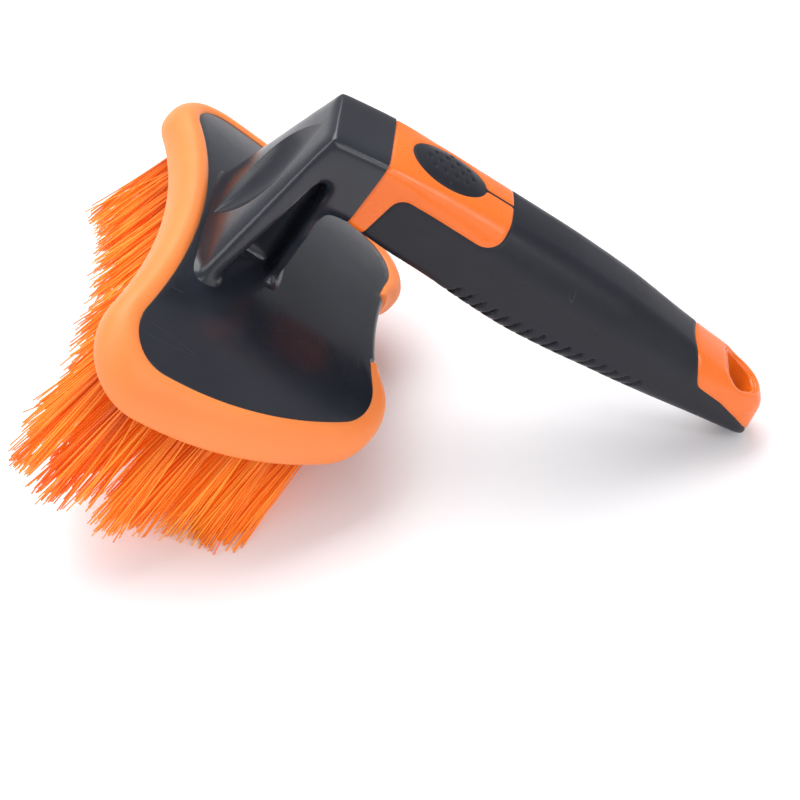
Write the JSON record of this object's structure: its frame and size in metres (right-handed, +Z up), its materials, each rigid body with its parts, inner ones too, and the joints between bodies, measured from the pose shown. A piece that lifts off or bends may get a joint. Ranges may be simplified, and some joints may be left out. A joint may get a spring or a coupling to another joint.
{
  "type": "wheel brush",
  "caption": "Short-handled wheel and tyre scrubbing brush: arched hourglass head with soft edge and tufted bristles, raised neck, soft grip and hang hole.",
  "frame": {"origin": "on the surface the brush rests on, under the middle of its bounding box", "axes": "+X from the head towards the grip's end, +Y across the head, +Z up"},
  "size_m": [0.2422, 0.1426, 0.1203],
  "materials": {
    "block_plastic": "glossy blue-grey moulding with fine scratches",
    "edge_rubber": "satin soft orange elastomer",
    "core_plastic": "semi-gloss orange moulding",
    "grip_rubber": "matte charcoal elastomer with scuffs",
    "bristle_fibre": "stiff translucent orange filament",
    "anchor_wire": "flat galvanised wire"
  },
  "bodies": {
    "root": {"brush_block": "block_plastic", "edge_bumper": "edge_rubber", "handle_core": "core_plastic", "grip_sleeve": "grip_rubber", "thumb_pad": "grip_rubber", "bristle_row_1": "bristle_fibre", "bristle_row_2": "bristle_fibre", "bristle_row_3": "bristle_fibre", "bristle_row_4": "bristle_fibre", "bristle_row_5": "bristle_fibre", "bristle_row_6": "bristle_fibre", "bristle_row_7": "bristle_fibre", "bristle_row_8": "bristle_fibre", "anchor_row_1": "anchor_wire", "anchor_row_2": "anchor_wire", "anchor_row_3": "anchor_wire", "anchor_row_4": "anchor_wire", "anchor_row_5": "anchor_wire", "anchor_row_6": "anchor_wire", "anchor_row_7": "anchor_wire", "anchor_row_8": "anchor_wire"}
  },
  "joints": []
}
